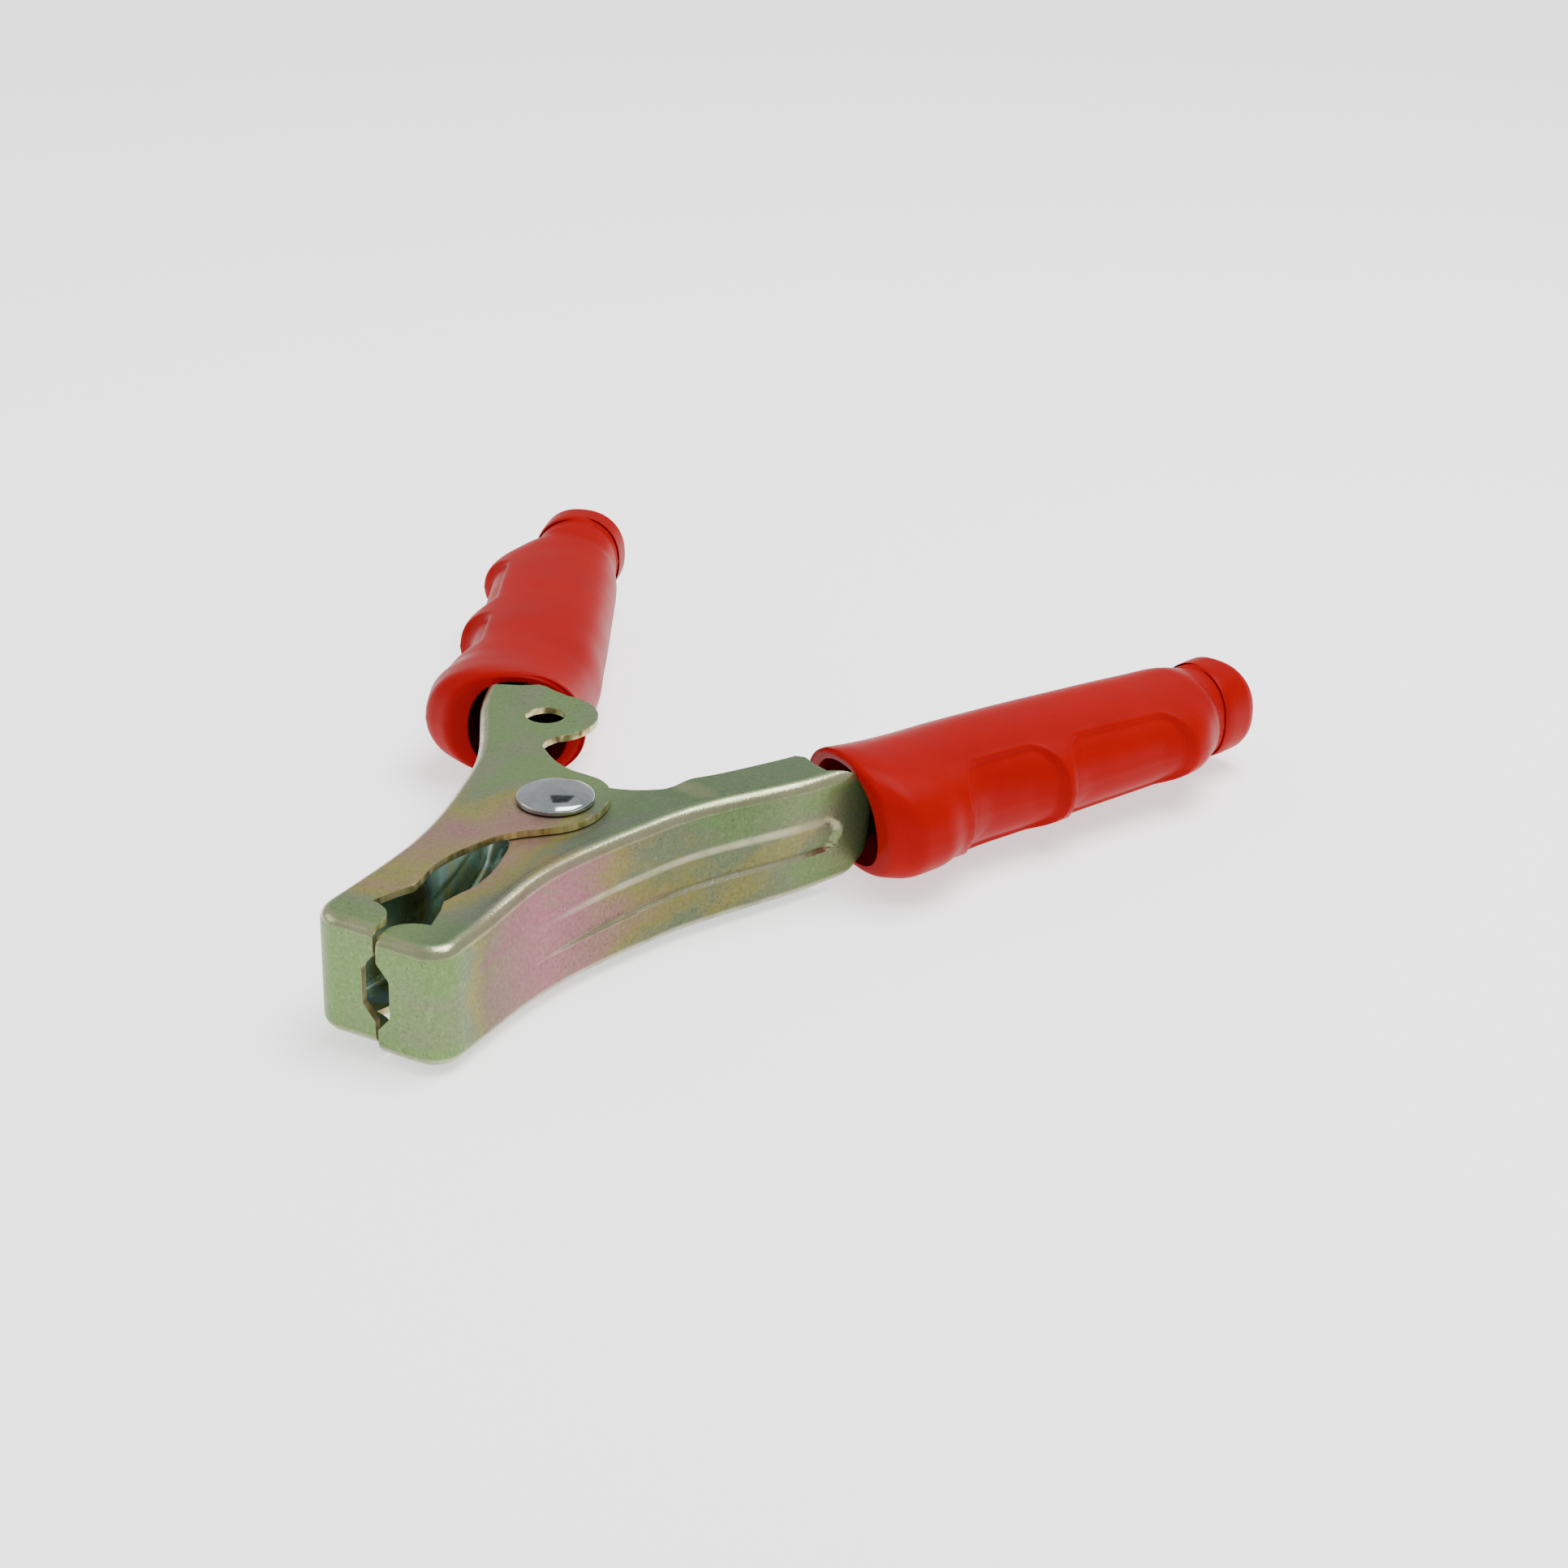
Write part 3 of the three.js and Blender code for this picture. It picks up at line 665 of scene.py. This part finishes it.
class Nodes:
    """Short names for building one material's node tree."""

    def __init__(self, name):
        self.material = bpy.data.materials.new(name)
        self.material.use_nodes = True
        self.tree = self.material.node_tree
        self.shader = self.tree.nodes["Principled BSDF"]
        coords = self.tree.nodes.new("ShaderNodeTexCoord")
        self.place = coords.outputs["Object"]
        self.facing = coords.outputs["Normal"]

    def link(self, a, b):
        self.tree.links.new(a, b)

    def mapped(self, scale, rotation=(0, 0, 0), offset=(0, 0, 0)):
        node = self.tree.nodes.new("ShaderNodeMapping")
        node.inputs["Scale"].default_value = scale
        node.inputs["Rotation"].default_value = rotation
        node.inputs["Location"].default_value = offset
        self.link(self.place, node.inputs["Vector"])
        return node.outputs["Vector"]

    def split(self, vector):
        node = self.tree.nodes.new("ShaderNodeSeparateXYZ")
        self.link(vector, node.inputs["Vector"])
        return node.outputs

    def noise(self, scale, detail=3.0, rough=0.5, distortion=0.0, vector=None):
        node = self.tree.nodes.new("ShaderNodeTexNoise")
        node.inputs["Scale"].default_value = scale
        node.inputs["Detail"].default_value = detail
        node.inputs["Roughness"].default_value = rough
        node.inputs["Distortion"].default_value = distortion
        self.link(vector or self.place, node.inputs["Vector"])
        return node.outputs["Fac"]

    def ramp(self, value, stops, mode="LINEAR"):
        node = self.tree.nodes.new("ShaderNodeValToRGB")
        node.color_ramp.interpolation = mode
        elements = node.color_ramp.elements
        while len(elements) < len(stops):
            elements.new(0.5)
        for element, (at, colour) in zip(elements, stops):
            element.position = at
            element.color = (*colour, 1.0)
        self.link(value, node.inputs["Fac"])
        return node.outputs["Color"]

    def mix(self, factor, a, b, mode="MIX"):
        node = self.tree.nodes.new("ShaderNodeMix")
        node.data_type = "RGBA"
        node.blend_type = mode
        for socket, value in ((node.inputs["Factor"], factor), (node.inputs["A"], a), (node.inputs["B"], b)):
            if isinstance(value, bpy.types.NodeSocket):
                self.link(value, socket)
            elif isinstance(value, tuple):
                socket.default_value = (*value, 1.0)
            else:
                socket.default_value = value
        return node.outputs["Result"]

    def math(self, kind, a, b=0.0):
        node = self.tree.nodes.new("ShaderNodeMath")
        node.operation = kind
        for socket, value in zip(node.inputs, (a, b)):
            if isinstance(value, bpy.types.NodeSocket):
                self.link(value, socket)
            else:
                socket.default_value = value
        return node.outputs["Value"]

    def span(self, value, low, high, out_low, out_high):
        node = self.tree.nodes.new("ShaderNodeMapRange")
        for key, number in (("From Min", low), ("From Max", high), ("To Min", out_low), ("To Max", out_high)):
            node.inputs[key].default_value = number
        self.link(value, node.inputs["Value"])
        return node.outputs["Result"]

    def bump(self, height, strength, distance, normal=None):
        node = self.tree.nodes.new("ShaderNodeBump")
        node.inputs["Strength"].default_value = strength
        node.inputs["Distance"].default_value = distance
        self.link(height, node.inputs["Height"])
        if normal is not None:
            self.link(normal, node.inputs["Normal"])
        return node.outputs["Normal"]

    def set(self, **values):
        for key, value in values.items():
            socket = self.shader.inputs[key.replace("_", " ")]
            if isinstance(value, bpy.types.NodeSocket):
                self.link(value, socket)
            else:
                socket.default_value = value


GREEN = linear((101, 119, 75))
GREY = linear((108, 112, 86))
OLIVE = linear((132, 120, 66))
PINK = linear((138, 106, 92))
MAGENTA = linear((144, 92, 96))


def film_tint(n, base, swing, scale, upward, along, across):
    """Interference colours of a thin passivation film: thickness by place, plus drifts."""
    thickness = n.ramp(along, [(at, (v, v, v)) for at, v in base])
    drift = n.noise(scale, 2.0, 0.5, 0.8, n.mapped((1, 0.7, 1.8), (0.3, 0.2, 0.6)))
    fine = n.noise(scale * 9, 4.0, 0.7, 0.3)
    moved = n.math("ADD", thickness, n.span(drift, 0.3, 0.7, -swing, swing))
    moved = n.math("ADD", moved, n.span(fine, 0.3, 0.7, -0.05, 0.05))
    moved = n.math("SUBTRACT", moved, n.math("MULTIPLY", upward, n.span(across, 0.0, 1.0, 0.05, 0.26)))
    return n.ramp(moved, [(0.05, GREEN), (0.22, GREY), (0.38, OLIVE), (0.52, PINK), (0.66, MAGENTA),
                          (0.85, GREEN)])


def plated_steel():
    """Yellow-chromated zinc: matt interference film, fine pits, bends burnished smooth with a painted
    highlight, painted light and shade by place and facing, painted shade in the creases.
    """
    n = Nodes("plated_steel")
    tilt = n.math("ABSOLUTE", n.split(n.facing)["Z"])
    upward = n.span(tilt, 0.5, 0.9, 0.0, 1.0)
    along = n.span(n.split(n.place)["Y"], -0.115, 0.025, 0.0, 1.0)
    across = n.span(n.split(n.place)["X"], 0.004, 0.012, 0.0, 1.0)
    tint = film_tint(n, [(0.0, 0.0), (0.06, 0.04), (0.12, 0.46), (0.22, 0.58), (0.34, 0.58),
                         (0.46, 0.34), (0.56, 0.20), (0.72, 0.12), (1.0, 0.10)],
                     0.20, 42, upward, along, across)
    mottle = n.noise(1150, 4.0, 0.7)
    tint = n.mix(n.span(mottle, 0.50, 0.70, 0.0, 0.30), tint, linear((70, 72, 56)))
    tint = n.mix(n.span(mottle, 0.44, 0.28, 0.0, 0.30), tint, linear((160, 160, 136)))
    pit_area = n.noise(60, 2.0, 0.5, 0.0, n.mapped((1, 1, 1), (0, 0, 0), (0.4, 0.1, 0.0)))
    pits = n.noise(1900, 2.0, 0.55)
    pitted = n.math("MULTIPLY", n.span(pits, 0.60, 0.68, 0.0, 0.65),
                    n.span(pit_area, 0.42, 0.60, 0.1, 1.0))
    tint = n.mix(pitted, tint, linear((64, 62, 56)))
    edge = n.tree.nodes.new("ShaderNodeNewGeometry").outputs["Pointiness"]
    on_bend = n.math("MULTIPLY", n.span(tilt, 0.12, 0.42, 0.0, 1.0),
                     n.span(tilt, 0.985, 0.90, 0.0, 1.0))
    rub_and_highlight_patches = n.noise(150, 3.0, 0.6, 0.0, n.mapped((1, 1, 1), (0, 0, 0), (0.2, 0.4, 0.1)))
    rubbed_and_highlight = n.math("MULTIPLY", on_bend, n.span(rub_and_highlight_patches, 0.35, 0.60, 0.55, 1.0))
    # painted shade: concave creases, such as the foot of the ridge's step, are darkened towards brown-grey
    crease_shade = n.span(edge, 0.492, 0.465, 0.0, 0.55)
    # Not a property of the film: painted light and shade by place and facing, mostly darkening the webs and
    # lightening the up-facing cheeks, tuned until this render, under this scene's light, met the photo. Under
    # other light the webs may look too dark for the cheeks.
    web_painted_light_shade = n.ramp(along, [(0.0, (0.96, 1.08, 0.98)), (0.06, (0.92, 1.02, 0.95)),
                              (0.12, (0.58, 0.68, 0.62)), (0.27, (0.94, 0.84, 1.00)),
                              (0.50, (0.56, 0.62, 0.60)), (0.66, (0.60, 0.66, 0.64)),
                              (0.80, (1.0, 1.05, 1.0))])
    cheek_painted_light = n.ramp(across, [(0.0, (1.30, 1.44, 1.42)), (1.0, (0.96, 1.03, 1.28))])
    tint = n.mix(1.0, tint, n.mix(upward, web_painted_light_shade, cheek_painted_light), "MULTIPLY")
    # painted highlight: where the bends are rubbed smooth, their colour is also lightened towards pale cream
    tint = n.mix(n.math("MULTIPLY", rubbed_and_highlight, 0.65), tint, linear((178, 172, 140)))
    # painted shade in the creases
    tint = n.mix(crease_shade, tint, linear((62, 58, 48)))
    rough = n.math("SUBTRACT", n.span(mottle, 0.25, 0.75, 0.36, 0.50), n.math("MULTIPLY", rubbed_and_highlight, 0.24))
    n.set(Base_Color=tint, Metallic=0.9, Roughness=rough)
    dents = n.bump(n.noise(95, 2.0, 0.5), 0.25, 0.0006)
    grain = n.bump(n.noise(1300, 3.0, 0.6), 0.4, 0.00012, dents)
    n.set(Normal=n.bump(pitted, -0.3, 0.00008, grain))
    return n.material


def inner_film():
    """The inside of the pressings, where the film stays thick: blue-green and brown bands."""
    n = Nodes("inner_film")
    bands = n.noise(38, 1.0, 0.4, 0.6, n.mapped((1.0, 1.6, 0.5), (0.1, 0.1, 0.9)))
    tint = n.ramp(bands, [(0.34, linear((110, 146, 134))), (0.44, linear((176, 206, 184))),
                          (0.50, linear((146, 170, 184))), (0.57, linear((150, 150, 96))),
                          (0.68, linear((118, 150, 132)))])
    mottle = n.noise(600, 3.0, 0.6)
    n.set(Base_Color=tint, Metallic=1.0, Roughness=n.span(mottle, 0.3, 0.7, 0.26, 0.36),
          Normal=n.bump(mottle, 0.05, 0.0001))
    return n.material


def blanked_edge():
    """The thin edge that the blanking tool left, golden where the film is thin."""
    n = Nodes("blanked_edge")
    streak = n.noise(420, 2.0, 0.5, 0.0, n.mapped((1, 1, 0.2)))
    n.set(Base_Color=n.ramp(streak, [(0.35, linear((150, 138, 88))), (0.62, linear((206, 194, 146)))]),
          Metallic=0.9, Roughness=n.span(streak, 0.3, 0.7, 0.30, 0.44), Normal=n.bump(streak, 0.1, 0.0001))
    return n.material


def bright_zinc():
    n = Nodes("bright_zinc")
    cloud = n.noise(260, 4.0, 0.65)
    n.set(Base_Color=n.ramp(cloud, [(0.3, linear((138, 146, 148))), (0.7, linear((174, 180, 180)))]),
          Metallic=1.0, Roughness=n.span(cloud, 0.3, 0.7, 0.06, 0.13),
          Normal=n.bump(n.noise(700, 3.0, 0.6), 0.05, 0.0001))
    return n.material


def spring_steel():
    n = Nodes("spring_steel")
    streak = n.noise(500, 3.0, 0.6)
    n.set(Base_Color=n.ramp(streak, [(0.3, linear((84, 84, 86))), (0.7, linear((128, 128, 130)))]),
          Metallic=1.0, Roughness=n.span(streak, 0.3, 0.7, 0.25, 0.42),
          Normal=n.bump(streak, 0.1, 0.0001))
    return n.material


def soft_red(name, shade):
    """Soft PVC: smooth, slightly wavy from the mould, with a broad dull sheen."""
    n = Nodes(name)
    cloud = n.noise(60, 3.0, 0.5, 0.3)
    fine = n.noise(900, 3.0, 0.6)
    base = n.ramp(cloud, [(0.3, (0.25 * shade, 0.0002 * shade, 0.0002 * shade)),
                          (0.7, (0.29 * shade, 0.0004 * shade, 0.0003 * shade))])
    deep = (0.18 * shade, 0.0002 * shade, 0.0002 * shade)
    n.set(Base_Color=n.mix(n.span(fine, 0.4, 0.8, 0.0, 0.15), base, deep), Metallic=0.0,
          Roughness=n.span(cloud, 0.3, 0.7, 0.36, 0.46))
    # far below real PVC's 0.5, so that the red stays as deep as the photo's under the view transform
    n.shader.inputs["Specular IOR Level"].default_value = 0.05
    waves = n.bump(n.noise(70, 2.0, 0.5), 0.12, 0.0008)
    n.set(Normal=n.bump(fine, 0.10, 0.0001, waves))
    return n.material


steel, inside_steel, cut_edge = plated_steel(), inner_film(), blanked_edge()
zinc, wire = bright_zinc(), spring_steel()
# the second red is the same PVC at 0.6 brightness: painted shade for the inside of the grips
red, red_painted_shade = soft_red("soft_red", 1.0), soft_red("soft_red_shaded_copy", 0.6)


def place(obj, material, body, node):
    if material is not None:
        obj.data.materials.append(material)
    if body is not None:
        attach(obj, body)
    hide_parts(node)


place(stamping("inner_half", False, False), None, "inner_half", "inner_jaw_half")
place(stamping("outer_half", True, True), None, "outer_half", "outer_jaw_half")
place(rivet(), zinc, "inner_half", "pivot_rivet")
# the end rings are lowered and raised to follow the photo; the CAD's two grips are alike
place(grip("inner_grip", 1, -1.8), None, "inner_half", "inner_half_grip")
place(grip("outer_grip", -1, 1.2), None, "outer_half", "outer_half_grip")
coil = spring()
shade(coil)
place(coil, wire, None, "torsion_spring")
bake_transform(coil)

# ---- floor, light and camera ----
floor = new_object("floor", [(-6, -6, 0), (6, -6, 0), (6, 6, 0), (-6, 6, 0)], [(0, 1, 2, 3)])
paper = Nodes("floor_paper")
paper.set(Base_Color=paper.ramp(paper.noise(3), [(0.3, (0.93, 0.93, 0.93)), (0.7, (0.95, 0.95, 0.95))]),
          Roughness=0.9)
paper.shader.inputs["Emission Color"].default_value = (1, 1, 1, 1)
paper.shader.inputs["Emission Strength"].default_value = 1.0
floor.data.materials.append(paper.material)

world = bpy.context.scene.world or bpy.data.worlds.new("studio")
bpy.context.scene.world = world
world.use_nodes = True
world.node_tree.nodes["Background"].inputs["Color"].default_value = (1.0, 1.0, 1.0, 1.0)
world.node_tree.nodes["Background"].inputs["Strength"].default_value = 0.8


def area(name, location, target, size, power):
    """A rectangular lamp at a place, turned to the target."""
    data = bpy.data.lights.new(name, "AREA")
    data.shape = "RECTANGLE"
    data.size, data.size_y = size
    data.energy = power
    lamp = bpy.data.objects.new(name, data)
    bpy.context.scene.collection.objects.link(lamp)
    lamp.location = location
    lamp.rotation_mode = "QUATERNION"
    lamp.rotation_quaternion = (Vector(target) - Vector(location)).to_track_quat("-Z", "Y")


area("overhead", (0.25, 0.12, 0.95), (0, -0.03, 0), (0.75, 0.6), 15.0)
area("left_panel", (-0.9, -0.5, 0.5), (0, 0, 0), (0.7, 0.5), 2.0)

# a dark card far behind, for the dark patch that the rivet's dome reflects
boom = new_object("boom", [(-0.46, 0.61, 0.60), (-0.30, 0.69, 0.60), (-0.30, 0.69, 1.00),
                           (-0.46, 0.61, 1.00)], [(0, 1, 2, 3)])
boom_cloth = Nodes("boom_cloth")
boom_cloth.set(Base_Color=boom_cloth.ramp(boom_cloth.noise(30), [(0.3, (0.02, 0.02, 0.02)),
                                                                 (0.7, (0.04, 0.04, 0.04))]),
               Roughness=0.9)
boom.data.materials.append(boom_cloth.material)

AZIMUTH, ELEVATION, ROLL = math.radians(27.83), math.radians(25.63), math.radians(1.41)
CAMERA_PLACE = (0.31872, -0.54842, 0.31939)
data = bpy.data.cameras.new("camera")
data.sensor_width = 36.0
data.lens = 72.07
data.clip_start, data.clip_end = 0.01, 50.0
camera = bpy.data.objects.new("camera", data)
bpy.context.scene.collection.objects.link(camera)
back = Vector((math.sin(AZIMUTH) * math.cos(ELEVATION), -math.cos(AZIMUTH) * math.cos(ELEVATION),
               math.sin(ELEVATION)))
right = Vector((0, 0, 1)).cross(back).normalized()
up = back.cross(right)
right_r = right * math.cos(ROLL) + up * math.sin(ROLL)
up_r = up * math.cos(ROLL) - right * math.sin(ROLL)
camera.matrix_world = Matrix.Translation(CAMERA_PLACE) @ Matrix(
    ((right_r.x, up_r.x, back.x), (right_r.y, up_r.y, back.y), (right_r.z, up_r.z, back.z))).to_4x4()
bpy.context.scene.camera = camera
